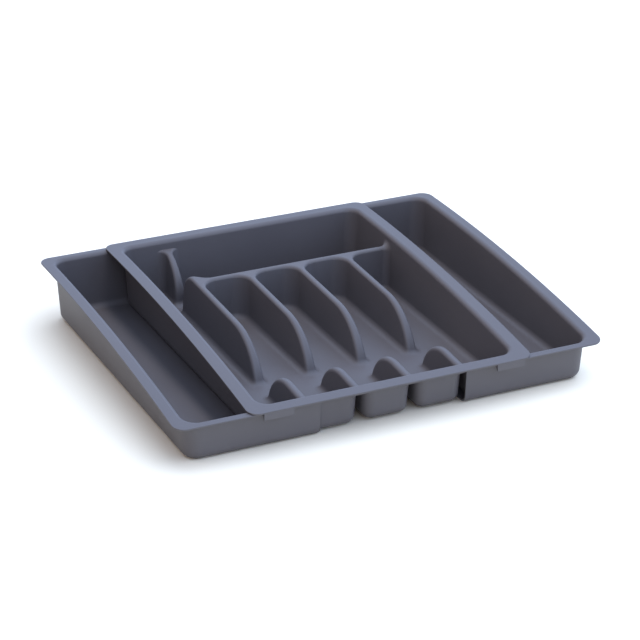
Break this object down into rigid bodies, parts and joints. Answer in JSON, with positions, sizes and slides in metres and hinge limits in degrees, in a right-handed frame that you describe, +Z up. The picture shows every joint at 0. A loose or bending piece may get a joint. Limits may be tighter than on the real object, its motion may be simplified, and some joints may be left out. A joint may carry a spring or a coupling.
{
  "type": "cutlery tray",
  "caption": "Expandable drawer tray for cutlery: a middle tray with moulded dividers, and plain side trays that slide out from under its rim.",
  "frame": {"origin": "middle of the bounding box, on the drawer floor that the side trays stand on", "axes": "+X from the left side tray to the right one, +Y from the low front to the high back, +Z up"},
  "size_m": [0.4542, 0.38, 0.0645],
  "materials": {
    "tray_plastic": "fine matte moulded grey"
  },
  "bodies": {
    "middle": {"middle_tray": "tray_plastic"},
    "left_side": {"left_side_tray": "tray_plastic"},
    "right_side": {"right_side_tray": "tray_plastic"}
  },
  "joints": [
    {"name": "left_slide", "type": "slide", "parent": "middle", "child": "left_side", "axis": [-1, 0, 0], "range_m": [-0.0719, 0.0275]},
    {"name": "right_slide", "type": "slide", "parent": "middle", "child": "right_side", "axis": [1, 0, 0], "range_m": [-0.0811, 0.0183]}
  ]
}
